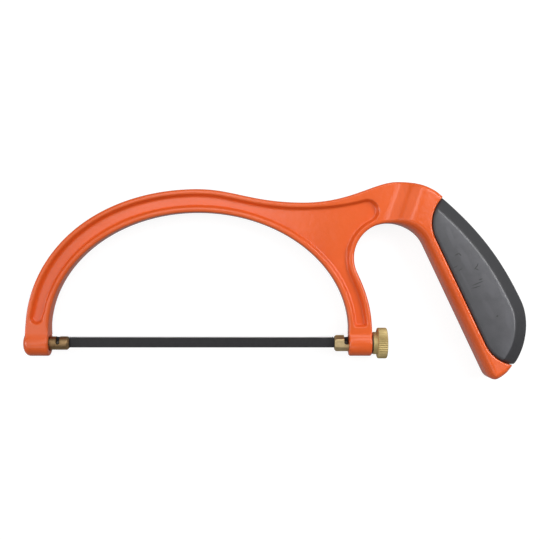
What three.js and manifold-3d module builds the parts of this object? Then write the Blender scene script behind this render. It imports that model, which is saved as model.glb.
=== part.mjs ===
// A junior hacksaw lying on its side: a cast bow frame with a rubber grip, and a short pin-ended blade
// stretched between a fixed front holder and a rear holder that a thumb nut draws back.
// The plan is drawn with x along the blade towards the handle, y from the blade towards the bow and z
// up from the table. The blade line is y = 0, the middle of the saw's thickness is z = 0, and x = 0 is
// the middle of the bow. The finished saw is then set on the table.
import * as THREE from 'three';
import { mergeVertices } from 'three/addons/utils/BufferGeometryUtils.js';
import Module from 'manifold-3d';

const wasm = await Module();
wasm.setup();

// Bow: a half-ellipse arch on two short legs, in millimetres. Its crown leans to the front and it is a
// little wider half-way up its front.
const ARCH_RISE = 60;
const ARCH_LEAN = 0.7;
const LEG_HEIGHT = 6.4;
const LEG_DRAW_IN = 2.5;
const LEG_DRAW_HEIGHT = 4.3;
const BOW_WIDTH = 11.6;
const HAUNCH_SWELL = 0.7;
const BOW_THICKNESS = 10;
const BOW_EDGE_ROUND = 1;

// Channel sunk into both faces of the bow
const RIB_WIDTH = 2.2;
const CHANNEL_DEPTH = 2.8;
const CHANNEL_SLOPE = 1.4;
const FRONT_CHANNEL_END = 9.6;
const REAR_CHANNEL_END = 8.2;
const REAR_CHANNEL_CORNER = 2;
const CHANNEL_EASE_ANGLE = 2;
const LOBE_RADIUS = 6.2;
const LOBE_ANGLE = 115;
const LOBE_TOP_ANGLE = 106;
const LOBE_EASE = 8;
const WEB_EASE = 14;

// Upper edge of the frame: the saddle behind the bow and the hump over the hand
const SADDLE_DROP = 6.8;
const SADDLE_SETBACK = 53;
const HUMP_SETBACK = 13;
const NECK_DEPTH = 20.7;
const CROWN_EASE = 18;
const SADDLE_EASE_FRONT = 26;
const SADDLE_EASE_BACK = 24;
const HUMP_EASE_FRONT = 12;
const HUMP_EASE_BACK = 8;

// Finger gap behind the rear leg
const FINGER_RADIUS = 17.6;
const FINGER_GRIP_RADIUS = 20;
const FINGER_SETBACK = 8.5;
const FINGER_DROP = 34.7;
const FINGER_LOWER_ANGLE = 205;
const LEG_BLEND_ANGLE = 14;

// Handle: along is measured down the handle from the finger gap's centre, across towards its back
const HANDLE_RAKE = 25.24;
const HANDLE_THICKNESS = 21;
const HANDLE_EDGE_ROUND = 3.6;
const HANDLE_LENGTH = 78.6;
const BACK_TOP_ALONG = -18.6;
const BACK_TOP_ACROSS = 35.8;
const BACK_TOP_EASE = 5.5;
const BACK_LEAVE_ALONG = 22;
const BACK_LEAVE_ACROSS = 10.1;
const BACK_WIDEST_ALONG = 48;
const BACK_WIDEST_ACROSS = 51;
const BACK_EASE_ABOVE = 26;
const BACK_EASE_BELOW = 14;
const TIP_ACROSS = 24.2;
const TIP_EASE = 13.5;
const TIP_ROUND = 4.8;
const ROUND_EASE = 0.55;
const FLARE_TILT = 19.4;
const FLARE_START = -9.6;
const FLARE_LENGTH = 13.7;
const FLARE_SINK = 0.1;

// Rubber grip: a saddle over the thin web at the back of the handle
const GRIP_EDGE_ACROSS = 24.9;
const GRIP_UPPER_ALONG = 1;
const GRIP_TIP_SETBACK = 18.6;
const GRIP_CORNER_RADIUS = 18;
const GRIP_BACK_ROUND = 6;
const GRIP_BACK_WALL = 4;
const GRIP_WEB_THICKNESS = 8;

// Barrel bosses on the blade line
const BOSS_DIAMETER = 13;
const BOSS_EDGE_ROUND = 1;
const FRONT_DOME_OVERHANG = 1.5;
const FRONT_DOME_LENGTH = 3.6;
const FRONT_DOME_RADIUS = 5;

// Blade and its pins
const PIN_SPACING = 146;
const FRONT_PIN_SETBACK = 4.4;
const REAR_PIN_SETBACK = 1.4;
const PIN_DIAMETER = 1.6;
const PIN_LENGTH = 5.4;
const PIN_HEIGHT = 0.45;
const BLADE_OVERHANG = 1.2;
const BLADE_THICKNESS = 0.65;
const BLADE_BACK_DROP = 2.7;
const BLADE_TOOTH_RISE = 2.9;
const TOOTH_PITCH = 25.4 / 24;
const TOOTH_DEPTH = 0.55;
const TOOTH_RAKE = 0.94;
const PLAIN_END = 4;

// Blade holders
const HOLDER_NOSE_CHAMFER = 0.8;
const FRONT_HOLDER_DIAMETER = 6.8;
const FRONT_HOLDER_REACH = 9.9;
const FRONT_MOUTH_DIAMETER = 8;
const FRONT_MOUTH_DEPTH = 2.5;
const FRONT_SCREW_DIAMETER = 5.9;
const FRONT_SCREW_LENGTH = 5.2;
const HEXAGON_FLATS = 7.1;
const HEXAGON_SOCKET_DEPTH = 7.2;
const HEXAGON_HOLD = 6.4;
const REAR_HOLDER_REACH = 7.2;
const HOLDER_TRAVEL = 4;
const SHANK_DIAMETER = 5.9;

// Thumb nut and thrust washer
const WASHER_DIAMETER = 11;
const WASHER_THICKNESS = 0.5;
const COLLAR_DIAMETER = 11.3;
const COLLAR_LENGTH = 1.4;
const WHEEL_DIAMETER = 15.6;
const WHEEL_LENGTH = 5.7;
const WHEEL_EDGE_ROUND = 0.7;
const KNURL_COUNT = 48;
const KNURL_DEPTH = 0.3;
const NUT_COUNTERSINK = 0.6;

// Clearances
const SEAT_GAP = 0.1;
const GRIP_GAP = 0.15;
const SLIDE_GAP = 0.12;
const SLOT_GAP = 0.16;
const THREAD_GAP = 0.2;
const PIN_GAP = 0.05;
const CUT_OVERRUN = 2;

// Number of straight steps that stand for curves, and the distance at which points count as one
const ARCH_STEPS = 36;
const CURVE_STEPS = 12;
const SHORT_STEPS = 6;
const BAR_SIDES = 24;
const PIN_SIDES = 16;
const ROUND_STEPS = 3;
const BOW_ROUND_STEPS = 2;
const CHAMFER_STEPS = 1;
const SAME_POINT = 0.02;
const SAME_CORNER = 1e-4;

const radians = THREE.MathUtils.degToRad;
const point = (x, y) => new THREE.Vector2(x, y);

// A closed geometry as a solid that can be joined and cut.
function solid(geometry) {
  const bare = geometry.clone();
  bare.deleteAttribute('normal');
  bare.deleteAttribute('uv');
  const merged = mergeVertices(bare, SAME_CORNER);
  return new wasm.Manifold(new wasm.Mesh({
    numProp: 3,
    vertProperties: new Float32Array(merged.attributes.position.array),
    triVerts: new Uint32Array(merged.index.array),
  }));
}

function geometryOf(body) {
  const { vertProperties, triVerts } = body.getMesh();
  const geometry = new THREE.BufferGeometry();
  geometry.setAttribute('position', new THREE.BufferAttribute(vertProperties, 3));
  geometry.setIndex(new THREE.BufferAttribute(triVerts, 1));
  geometry.computeVertexNormals();
  return geometry;
}

// A plate of an outline, centred on the middle plane, with its edges rounded in the given steps.
function plate(outline, thickness, round, steps) {
  const geometry = new THREE.ExtrudeGeometry(new THREE.Shape(outline), {
    depth: thickness - 2 * round,
    bevelEnabled: round > 0,
    bevelThickness: round,
    bevelSize: round,
    bevelOffset: -round,
    bevelSegments: steps,
  });
  geometry.translate(0, 0, round - thickness / 2);
  return solid(geometry);
}

// A body turned about the blade line from a profile of (radius, x) points that starts and ends on it.
function turned(profile, sides = BAR_SIDES) {
  const geometry = new THREE.LatheGeometry(profile, sides);
  return solid(geometry.rotateZ(-Math.PI / 2));
}

function roundBar(diameter, start, end, sides = BAR_SIDES) {
  const radius = diameter / 2;
  return turned([point(0, start), point(radius, start), point(radius, end), point(0, end)], sides);
}

// A hexagon bar on the blade line with two flats level with the table.
function hexagonBar(flats, start, end) {
  const radius = flats / Math.sqrt(3);
  const geometry = new THREE.CylinderGeometry(radius, radius, end - start, 6, 1, false, Math.PI / 2);
  geometry.rotateZ(-Math.PI / 2).translate((start + end) / 2, 0, 0);
  return solid(geometry);
}

function box(low, high) {
  const size = new THREE.Vector3().subVectors(high, low);
  const geometry = new THREE.BoxGeometry(size.x, size.y, size.z);
  const middle = new THREE.Vector3().addVectors(low, high).multiplyScalar(0.5);
  return solid(geometry.translate(middle.x, middle.y, middle.z));
}

// Points of an ellipse from one angle to another, in degrees.
function ellipseArc(centre, radiusX, radiusY, from, to, steps) {
  return Array.from({ length: steps + 1 }, (_, i) => {
    const angle = radians(from + ((to - from) * i) / steps);
    return point(centre.x + radiusX * Math.cos(angle), centre.y + radiusY * Math.sin(angle));
  });
}

// A smooth curve between two points, leaving and arriving along the given steps.
function sweep(start, leave, arrive, end, steps = CURVE_STEPS) {
  const curve = new THREE.CubicBezierCurve(start, start.clone().add(leave), end.clone().sub(arrive), end);
  return curve.getPoints(steps);
}

// The points of an open curve moved sideways, to the right of its direction when the distance is positive.
function shifted(points, distance) {
  return points.map((here, i) => {
    const before = points[Math.max(i - 1, 0)];
    const after = points[Math.min(i + 1, points.length - 1)];
    const along = after.clone().sub(before).normalize();
    return point(here.x + along.y * distance, here.y - along.x * distance);
  });
}

// Joins curves end to end, leaving out points that repeat.
function outlineOf(...curves) {
  const points = curves.flat();
  return points.filter((here, i) => here.distanceTo(points[(i + 1) % points.length]) > SAME_POINT);
}

// Plan of the bow, whose span follows the blade. The arch point at an angle, moved out from the inner edge
// by a distance.
const archHalfSpan = (PIN_SPACING + FRONT_PIN_SETBACK + REAR_PIN_SETBACK) / 2;
const legBack = archHalfSpan + BOW_WIDTH;
const crownHeight = LEG_HEIGHT + ARCH_RISE + BOW_WIDTH;
function archPoint(angle, distance) {
  const turn = radians(angle);
  const normal = point(Math.cos(turn) / archHalfSpan, Math.sin(turn) / ARCH_RISE).normalize();
  const lean = ARCH_LEAN * Math.sin(turn) ** 2;
  return point(
    archHalfSpan * Math.cos(turn) - lean + distance * normal.x,
    LEG_HEIGHT + ARCH_RISE * Math.sin(turn) + distance * normal.y,
  );
}
function archCurve(from, to, distance, steps) {
  return Array.from({ length: steps + 1 }, (_, i) => archPoint(from + ((to - from) * i) / steps, distance));
}

// The outer edge of the bow's front, which swells half-way up, moved in by a distance.
function haunchCurve(from, inset) {
  const steps = ARCH_STEPS / 2;
  return Array.from({ length: steps + 1 }, (_, i) => {
    const angle = from + ((90 - from) * i) / steps;
    const swell = HAUNCH_SWELL * Math.sin(2 * radians(angle)) ** 2;
    return archPoint(angle, BOW_WIDTH + swell - inset);
  });
}

// Plan of the finger gap and the handle, whose front is a tangent of the gap's round.
const fingerCentre = point(legBack + FINGER_SETBACK, crownHeight - FINGER_DROP);
const handleDown = point(Math.sin(radians(HANDLE_RAKE)), -Math.cos(radians(HANDLE_RAKE)));
const handleBack = point(Math.cos(radians(HANDLE_RAKE)), Math.sin(radians(HANDLE_RAKE)));
const handleFront = Math.hypot(FINGER_GRIP_RADIUS * handleBack.x, FINGER_RADIUS * handleBack.y);
const gripTangent = THREE.MathUtils.radToDeg(
  Math.atan2(FINGER_RADIUS * handleBack.y, FINGER_GRIP_RADIUS * handleBack.x),
);
function handlePoint(along, across) {
  return point(
    fingerCentre.x + along * handleDown.x + across * handleBack.x,
    fingerCentre.y + along * handleDown.y + across * handleBack.y,
  );
}
const handleStep = (along, across) => handlePoint(along, across).sub(fingerCentre);

// Upper edge, from the crown of the bow over the saddle and the hump to the top of the handle's back.
const crown = archPoint(90, BOW_WIDTH);
const saddle = point(SADDLE_SETBACK, crownHeight - SADDLE_DROP);
const hump = point(legBack + HUMP_SETBACK, fingerCentre.y + FINGER_RADIUS + NECK_DEPTH);
const backTop = handlePoint(BACK_TOP_ALONG, BACK_TOP_ACROSS);
const backTopLeave = handleStep(BACK_LEAVE_ALONG, BACK_LEAVE_ACROSS);
const backTopArrive = backTopLeave.clone().setLength(BACK_TOP_EASE);
const crownToSaddle = sweep(crown, point(CROWN_EASE, 0), point(SADDLE_EASE_FRONT, 0), saddle);
const saddleToHump = sweep(saddle, point(SADDLE_EASE_BACK, 0), point(HUMP_EASE_FRONT, 0), hump);
const humpToBack = sweep(hump, point(HUMP_EASE_BACK, 0), backTopArrive, backTop);

// Back of the handle, its round end and its straight front.
const backWidest = handlePoint(BACK_WIDEST_ALONG, BACK_WIDEST_ACROSS);
const tip = handlePoint(HANDLE_LENGTH, TIP_ACROSS);
const frontLow = handlePoint(HANDLE_LENGTH - TIP_ROUND, handleFront);
const upperBack = sweep(backTop, backTopLeave, handleStep(BACK_EASE_ABOVE, 0), backWidest);
const lowerBack = sweep(backWidest, handleStep(BACK_EASE_BELOW, 0), handleStep(0, -TIP_EASE), tip);
const tipLeave = handleStep(0, ROUND_EASE * (handleFront - TIP_ACROSS));
const frontArrive = handleStep(-ROUND_EASE * TIP_ROUND, 0);
const handleEnd = sweep(tip, tipLeave, frontArrive, frontLow, SHORT_STEPS);
const handleBackEdge = [...upperBack, ...lowerBack.slice(1)];

// Finger gap from the handle over its top and down into the back of the rear leg, at a rib's distance.
function fingerEdge(rib, from) {
  const radius = FINGER_RADIUS + rib;
  const gap = ellipseArc(fingerCentre, radius, radius, from, FINGER_LOWER_ANGLE, CURVE_STEPS);
  const gapEnd = gap[gap.length - 1];
  const legStart = archPoint(LEG_BLEND_ANGLE, BOW_WIDTH - rib);
  const third = gapEnd.distanceTo(legStart) / 3;
  const lower = radians(FINGER_LOWER_ANGLE);
  const leave = point(-Math.sin(lower), Math.cos(lower)).multiplyScalar(third);
  const legNext = archPoint(LEG_BLEND_ANGLE - 1, BOW_WIDTH - rib);
  const arrive = legNext.sub(legStart).normalize().multiplyScalar(third);
  const blend = sweep(gapEnd, leave, arrive, legStart, SHORT_STEPS);
  return [...gap, ...blend, ...archCurve(LEG_BLEND_ANGLE, 0, BOW_WIDTH - rib, SHORT_STEPS)];
}
const overFingers = ellipseArc(fingerCentre, FINGER_GRIP_RADIUS, FINGER_RADIUS, gripTangent, 90, CURVE_STEPS);

// Outline of the whole casting. The leg ends are drawn in so that they stay inside the bosses.
const frameOutline = outlineOf(
  [point(LEG_DRAW_IN - legBack, 0), point(-legBack, LEG_DRAW_HEIGHT)],
  haunchCurve(180, 0),
  crownToSaddle,
  saddleToHump,
  humpToBack,
  handleBackEdge,
  handleEnd,
  overFingers,
  fingerEdge(0, 90),
  [point(legBack, LEG_DRAW_HEIGHT), point(legBack - LEG_DRAW_IN, 0)],
  [point(archHalfSpan + LEG_DRAW_IN, 0), point(archHalfSpan, LEG_DRAW_HEIGHT)],
  archCurve(0, 180, 0, ARCH_STEPS),
  [point(-archHalfSpan, LEG_DRAW_HEIGHT), point(-archHalfSpan - LEG_DRAW_IN, 0)],
);

// The angle at which the arch is at a height above the blade line.
const archAngle = (height) => THREE.MathUtils.radToDeg(Math.asin((height - LEG_HEIGHT) / ARCH_RISE));

// Outline of the channel at the face of the bow: a round end at the front, a square one at the rear and
// a round lobe under the hump.
function channelOutline() {
  const width = BOW_WIDTH - 2 * RIB_WIDTH;
  const frontMiddle = point(-archHalfSpan - BOW_WIDTH / 2, FRONT_CHANNEL_END + width / 2);
  const frontEnd = ellipseArc(frontMiddle, width / 2, width / 2, 360, 180, CURVE_STEPS);
  const frontAngle = 180 - archAngle(frontMiddle.y) - CHANNEL_EASE_ANGLE;
  const lobeTurn = radians(LOBE_ANGLE);
  const lobeReach = FINGER_RADIUS + RIB_WIDTH + LOBE_RADIUS;
  const lobeWay = point(Math.cos(lobeTurn), Math.sin(lobeTurn));
  const lobeCentre = lobeWay.multiplyScalar(lobeReach).add(fingerCentre);
  const lobeLow = LOBE_ANGLE - 180;
  const lobe = ellipseArc(lobeCentre, LOBE_RADIUS, LOBE_RADIUS, LOBE_TOP_ANGLE, lobeLow, CURVE_STEPS);
  const lobeTop = radians(LOBE_TOP_ANGLE);
  const lobeArrive = point(Math.sin(lobeTop), -Math.cos(lobeTop)).multiplyScalar(LOBE_EASE);
  const upper = shifted(crownToSaddle, RIB_WIDTH);
  const overWeb = sweep(upper[upper.length - 1], point(WEB_EASE, 0), lobeArrive, lobe[0]);
  const rearLeft = archHalfSpan + RIB_WIDTH;
  const rearRight = legBack - RIB_WIDTH;
  const corner = REAR_CHANNEL_CORNER;
  const rearFloor = REAR_CHANNEL_END + corner;
  const rearAngle = archAngle(rearFloor) + CHANNEL_EASE_ANGLE;
  const rearEnd = [
    ...ellipseArc(point(rearRight - corner, rearFloor), corner, corner, 0, -90, ROUND_STEPS),
    ...ellipseArc(point(rearLeft + corner, rearFloor), corner, corner, -90, -180, ROUND_STEPS),
  ];
  return outlineOf(
    haunchCurve(frontAngle, RIB_WIDTH),
    upper.slice(1),
    overWeb,
    lobe,
    fingerEdge(RIB_WIDTH, LOBE_ANGLE).slice(0, -2),
    rearEnd,
    archCurve(rearAngle, frontAngle, RIB_WIDTH, ARCH_STEPS),
    frontEnd,
  );
}

// The cutter for a channel, with walls that slope in to its floor. It is the same either way up, so it
// serves both faces.
function channelCutter(base) {
  const geometry = new THREE.ExtrudeGeometry(new THREE.Shape(channelOutline()), {
    depth: CUT_OVERRUN,
    bevelThickness: CHANNEL_DEPTH,
    bevelSize: CHANNEL_SLOPE,
    bevelOffset: -CHANNEL_SLOPE,
    bevelSegments: CHAMFER_STEPS,
  });
  return solid(geometry.translate(0, 0, base));
}

// The thickness of the handle: a slab that swells from just under the bow's faces to the handle's.
function flare() {
  const thin = BOW_THICKNESS / 2 - FLARE_SINK;
  const swell = HANDLE_THICKNESS / 2 - thin;
  const reach = legBack + HANDLE_LENGTH;
  const upper = Array.from({ length: CURVE_STEPS + 1 }, (_, i) => {
    const share = i / CURVE_STEPS;
    return point(FLARE_START + FLARE_LENGTH * share, thin + swell * share * share * (3 - 2 * share));
  });
  upper.push(point(reach, HANDLE_THICKNESS / 2));
  upper.unshift(point(-reach, thin));
  const lower = upper.map((here) => point(here.x, -here.y)).reverse();
  const geometry = new THREE.ExtrudeGeometry(new THREE.Shape([...upper, ...lower]), {
    depth: 2 * reach,
    bevelEnabled: false,
  });
  const tilt = radians(FLARE_TILT);
  const along = new THREE.Vector3(Math.cos(tilt), -Math.sin(tilt), 0);
  const up = new THREE.Vector3(0, 0, 1);
  const across = new THREE.Vector3().crossVectors(along, up);
  geometry.translate(0, 0, -reach);
  geometry.applyMatrix4(new THREE.Matrix4().makeBasis(along, up, across));
  return solid(geometry.translate(fingerCentre.x, fingerCentre.y, 0));
}

// The thick part of the handle, from the neck over the fingers to the tip.
function handleBody() {
  const neckX = fingerCentre.x - FLARE_LENGTH;
  const neck = [point(neckX, fingerCentre.y + FINGER_RADIUS), point(neckX, hump.y)];
  const outline = outlineOf(neck, humpToBack, handleBackEdge, handleEnd, overFingers);
  return plate(outline, HANDLE_THICKNESS, HANDLE_EDGE_ROUND, ROUND_STEPS)
    .intersect(flare())
    .intersect(plate(frameOutline, HANDLE_THICKNESS, 0, CHAMFER_STEPS));
}

// Plan of the grip, grown or shrunk all round by a distance. It runs past the back of the handle.
function gripPlan(growth) {
  const radius = GRIP_CORNER_RADIUS + growth;
  const beyond = BACK_WIDEST_ACROSS + GRIP_CORNER_RADIUS;
  const place = (p) => handlePoint(p.x, p.y);
  const middle = GRIP_EDGE_ACROSS + GRIP_CORNER_RADIUS;
  const lowerAlong = HANDLE_LENGTH - GRIP_TIP_SETBACK;
  const upper = ellipseArc(point(GRIP_UPPER_ALONG, middle), radius, radius, 180, 270, CURVE_STEPS);
  const lower = ellipseArc(point(lowerAlong, middle), radius, radius, 270, 360, CURVE_STEPS);
  const ends = [point(lowerAlong + radius, beyond), point(GRIP_UPPER_ALONG - radius, beyond)];
  return outlineOf(upper.map(place), lower.map(place), ends.map(place));
}

// A slab whose back edge follows the back of the handle, moved in by a distance. Its other edges lie
// well in front of the grip.
function backSlab(inset, thickness, round) {
  const lead = 2 * FINGER_RADIUS;
  const above = point(hump.x - lead, hump.y);
  const below = handlePoint(HANDLE_LENGTH, -lead);
  const back = shifted([above, ...humpToBack, ...handleBackEdge.slice(1), below], inset);
  const front = [point(hump.x - lead, below.y)];
  return plate(outlineOf(back, front), thickness, round, ROUND_STEPS);
}

// The barrel bosses, with a domed closed end at the front.
function frontBoss() {
  const radius = BOSS_DIAMETER / 2;
  const round = BOSS_EDGE_ROUND;
  const domeEnd = -legBack - FRONT_DOME_OVERHANG;
  const domeMiddle = point(radius - FRONT_DOME_RADIUS, domeEnd + FRONT_DOME_LENGTH);
  const dome = ellipseArc(domeMiddle, FRONT_DOME_RADIUS, FRONT_DOME_LENGTH, -90, 0, SHORT_STEPS);
  const edge = ellipseArc(point(radius - round, -archHalfSpan - round), round, round, 0, 90, ROUND_STEPS);
  return turned([point(0, domeEnd), ...dome, ...edge, point(0, -archHalfSpan)]);
}
function rearBoss() {
  const radius = BOSS_DIAMETER / 2;
  const round = BOSS_EDGE_ROUND;
  const front = ellipseArc(point(radius - round, archHalfSpan + round), round, round, -90, 0, ROUND_STEPS);
  const back = ellipseArc(point(radius - round, legBack - round), round, round, 0, 90, ROUND_STEPS);
  return turned([point(0, archHalfSpan), ...front, ...back, point(0, legBack)]);
}

// Places along the blade line.
const rearPinX = archHalfSpan - REAR_PIN_SETBACK;
const frontPinX = rearPinX - PIN_SPACING;
const frontNose = FRONT_HOLDER_REACH - archHalfSpan;
const frontShoulder = -archHalfSpan - FRONT_MOUTH_DEPTH;
const frontScrewEnd = frontShoulder - FRONT_SCREW_LENGTH;
const rearNose = archHalfSpan - REAR_HOLDER_REACH;
const hexagonEnd = archHalfSpan + HEXAGON_HOLD;
const washerFace = legBack + SEAT_GAP;
const nutFace = washerFace + WASHER_THICKNESS + SEAT_GAP;
const wheelFace = nutFace + COLLAR_LENGTH;
const nutEnd = wheelFace + WHEEL_LENGTH;
const shankEnd = nutEnd - NUT_COUNTERSINK;
const shankBore = SHANK_DIAMETER + 2 * THREAD_GAP;

function frame() {
  const web = backSlab(GRIP_BACK_WALL, GRIP_WEB_THICKNESS, 0);
  const pocketDepth = HANDLE_THICKNESS + CUT_OVERRUN;
  const gripPocket = plate(gripPlan(GRIP_GAP), pocketDepth, 0, CHAMFER_STEPS).subtract(web);
  const mouth = roundBar(FRONT_MOUTH_DIAMETER, frontShoulder, CUT_OVERRUN - archHalfSpan);
  const screwHole = roundBar(
    FRONT_SCREW_DIAMETER + 2 * THREAD_GAP, frontScrewEnd - SEAT_GAP, frontShoulder + CUT_OVERRUN);
  const socketEnd = archHalfSpan + HEXAGON_SOCKET_DEPTH;
  const socket = hexagonBar(HEXAGON_FLATS + 2 * SLIDE_GAP, archHalfSpan - CUT_OVERRUN, socketEnd);
  const shankHole = roundBar(shankBore, socketEnd - CUT_OVERRUN, legBack + CUT_OVERRUN);
  return plate(frameOutline, BOW_THICKNESS, BOW_EDGE_ROUND, BOW_ROUND_STEPS)
    .add(handleBody())
    .subtract(channelCutter(BOW_THICKNESS / 2))
    .subtract(channelCutter(-BOW_THICKNESS / 2 - CUT_OVERRUN))
    .subtract(gripPocket)
    .add(frontBoss())
    .add(rearBoss())
    .subtract(mouth)
    .subtract(screwHole)
    .subtract(socket)
    .subtract(shankHole);
}

function grip() {
  const web = backSlab(GRIP_BACK_WALL - GRIP_GAP, GRIP_WEB_THICKNESS + 2 * GRIP_GAP, 0);
  return backSlab(0, HANDLE_THICKNESS, GRIP_BACK_ROUND)
    .intersect(plate(gripPlan(0), HANDLE_THICKNESS + CUT_OVERRUN, 0, CHAMFER_STEPS))
    .subtract(web);
}

// A cut into a holder from above the blade line: its ends along x, its floor and half its thickness.
function crossCut(startX, endX, lowY, halfWidth) {
  return box(
    new THREE.Vector3(startX, lowY, -halfWidth),
    new THREE.Vector3(endX, BOSS_DIAMETER, halfWidth),
  );
}
const slotHalf = BLADE_THICKNESS / 2 + SLOT_GAP;
const pinRadius = PIN_DIAMETER / 2;
const notchFloor = PIN_HEIGHT - pinRadius - SEAT_GAP;

function frontHolder() {
  const radius = FRONT_HOLDER_DIAMETER / 2;
  const screw = FRONT_SCREW_DIAMETER / 2;
  const shoulder = frontShoulder + SEAT_GAP;
  const peg = turned([
    point(0, frontScrewEnd),
    point(screw, frontScrewEnd),
    point(screw, shoulder),
    point(radius, shoulder),
    point(radius, frontNose - HOLDER_NOSE_CHAMFER),
    point(radius - HOLDER_NOSE_CHAMFER, frontNose),
    point(0, frontNose),
  ]);
  const slotEnd = frontPinX - BLADE_OVERHANG - SLOT_GAP;
  const notchStart = frontPinX - pinRadius - SLOT_GAP;
  const notchEnd = frontPinX + pinRadius + SEAT_GAP;
  return peg
    .subtract(crossCut(slotEnd, frontNose + CUT_OVERRUN, -BOSS_DIAMETER, slotHalf))
    .subtract(crossCut(notchStart, notchEnd, notchFloor, radius));
}

function rearHolder() {
  const corner = HEXAGON_FLATS / Math.sqrt(3);
  const chamfer = corner + HOLDER_NOSE_CHAMFER;
  const nose = turned([
    point(0, rearNose),
    point(corner - HOLDER_NOSE_CHAMFER, rearNose),
    point(chamfer, rearNose + 2 * HOLDER_NOSE_CHAMFER),
    point(chamfer, hexagonEnd),
    point(0, hexagonEnd),
  ]);
  const slotEnd = rearPinX + BLADE_OVERHANG + HOLDER_TRAVEL + SLOT_GAP;
  const notchEnd = rearPinX + pinRadius + HOLDER_TRAVEL + SLOT_GAP;
  return hexagonBar(HEXAGON_FLATS, rearNose, hexagonEnd)
    .intersect(nose)
    .add(roundBar(SHANK_DIAMETER, hexagonEnd - CUT_OVERRUN, shankEnd))
    .subtract(crossCut(rearNose - CUT_OVERRUN, slotEnd, -BOSS_DIAMETER, slotHalf))
    .subtract(crossCut(rearPinX - pinRadius - SEAT_GAP, notchEnd, notchFloor, corner));
}

function thrustWasher() {
  const ring = roundBar(WASHER_DIAMETER, washerFace, washerFace + WASHER_THICKNESS);
  return ring.subtract(roundBar(shankBore, washerFace - CUT_OVERRUN, nutFace + CUT_OVERRUN));
}

// The nut's wheel is a straight-knurled prism trimmed by a turned body with rounded edges.
function thumbNut() {
  const radius = WHEEL_DIAMETER / 2;
  const round = WHEEL_EDGE_ROUND;
  const knurl = Array.from({ length: 2 * KNURL_COUNT }, (_, i) => {
    const angle = (Math.PI * i) / KNURL_COUNT;
    const reach = radius - (i % 2) * KNURL_DEPTH;
    return point(reach * Math.cos(angle), reach * Math.sin(angle));
  });
  const wheel = new THREE.Shape(knurl);
  const prism = new THREE.ExtrudeGeometry(wheel, { depth: WHEEL_LENGTH, bevelEnabled: false });
  prism.rotateY(Math.PI / 2).translate(wheelFace, 0, 0);
  const trim = turned([
    point(0, wheelFace),
    ...ellipseArc(point(radius - round, wheelFace + round), round, round, -90, 0, CHAMFER_STEPS),
    ...ellipseArc(point(radius - round, nutEnd - round), round, round, 0, 90, CHAMFER_STEPS),
    point(0, nutEnd),
  ], KNURL_COUNT);
  const bore = shankBore / 2;
  const through = turned([
    point(0, nutFace - CUT_OVERRUN),
    point(bore, nutFace - CUT_OVERRUN),
    point(bore, nutEnd - NUT_COUNTERSINK),
    point(bore + NUT_COUNTERSINK + CUT_OVERRUN, nutEnd + CUT_OVERRUN),
    point(0, nutEnd + CUT_OVERRUN),
  ]);
  return solid(prism)
    .intersect(trim)
    .add(roundBar(COLLAR_DIAMETER, nutFace, wheelFace + round))
    .subtract(through);
}

// The blade's teeth face the front of the saw. Its ends are plain where the holders grip them.
function blade() {
  const front = frontPinX - BLADE_OVERHANG;
  const rear = rearPinX + BLADE_OVERHANG;
  const back = PIN_HEIGHT - BLADE_BACK_DROP;
  const tips = PIN_HEIGHT + BLADE_TOOTH_RISE;
  const gullets = tips - TOOTH_DEPTH;
  const count = Math.floor((rear - front - 2 * PLAIN_END) / TOOTH_PITCH);
  const lastGullet = rear - PLAIN_END;
  const teeth = Array.from({ length: count }, (_, i) => {
    const start = lastGullet - i * TOOTH_PITCH;
    return [point(start, gullets), point(start - TOOTH_RAKE * TOOTH_PITCH, tips)];
  });
  const outline = outlineOf(
    [point(front, back), point(rear, back), point(rear, gullets)],
    teeth.flat(),
    [point(lastGullet - count * TOOTH_PITCH, gullets), point(front, gullets)],
  );
  const shape = new THREE.Shape(outline);
  const hole = pinRadius + PIN_GAP;
  for (const x of [frontPinX, rearPinX]) {
    const rim = ellipseArc(point(x, PIN_HEIGHT), hole, hole, 0, 360, PIN_SIDES);
    shape.holes.push(new THREE.Path(rim.slice(1)));
  }
  const strip = new THREE.ExtrudeGeometry(shape, { depth: BLADE_THICKNESS, bevelEnabled: false });
  return strip.translate(0, 0, -BLADE_THICKNESS / 2);
}

function bladePin(x) {
  const pin = new THREE.CylinderGeometry(pinRadius, pinRadius, PIN_LENGTH, PIN_SIDES, 1, false, Math.PI / 2);
  return pin.rotateX(Math.PI / 2).translate(x, PIN_HEIGHT, 0);
}

const finishes = {
  paint: { color: 0xe8602c, roughness: 0.3, metalness: 0 },
  rubber: { color: 0x4a4a4d, roughness: 0.75, metalness: 0 },
  brass: { color: 0xb08d4a, roughness: 0.4, metalness: 1 },
  tarnishedBrass: { color: 0x857044, roughness: 0.5, metalness: 1 },
  steel: { color: 0x55504a, roughness: 0.5, metalness: 1 },
  blackenedSteel: { color: 0x26272a, roughness: 0.45, metalness: 1 },
};

function piece(name, geometry, finish) {
  const mesh = new THREE.Mesh(geometry, new THREE.MeshStandardMaterial(finishes[finish]));
  mesh.name = name;
  return mesh;
}

const saw = new THREE.Group();
saw.add(
  piece('frame', geometryOf(frame()), 'paint'),
  piece('grip', geometryOf(grip()), 'rubber'),
  piece('front_holder', geometryOf(frontHolder()), 'tarnishedBrass'),
  piece('rear_holder', geometryOf(rearHolder()), 'tarnishedBrass'),
  piece('thrust_washer', geometryOf(thrustWasher()), 'steel'),
  piece('thumb_nut', geometryOf(thumbNut()), 'brass'),
  piece('blade', blade(), 'blackenedSteel'),
  piece('front_blade_pin', bladePin(frontPinX), 'steel'),
  piece('rear_blade_pin', bladePin(rearPinX), 'steel'),
);

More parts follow.
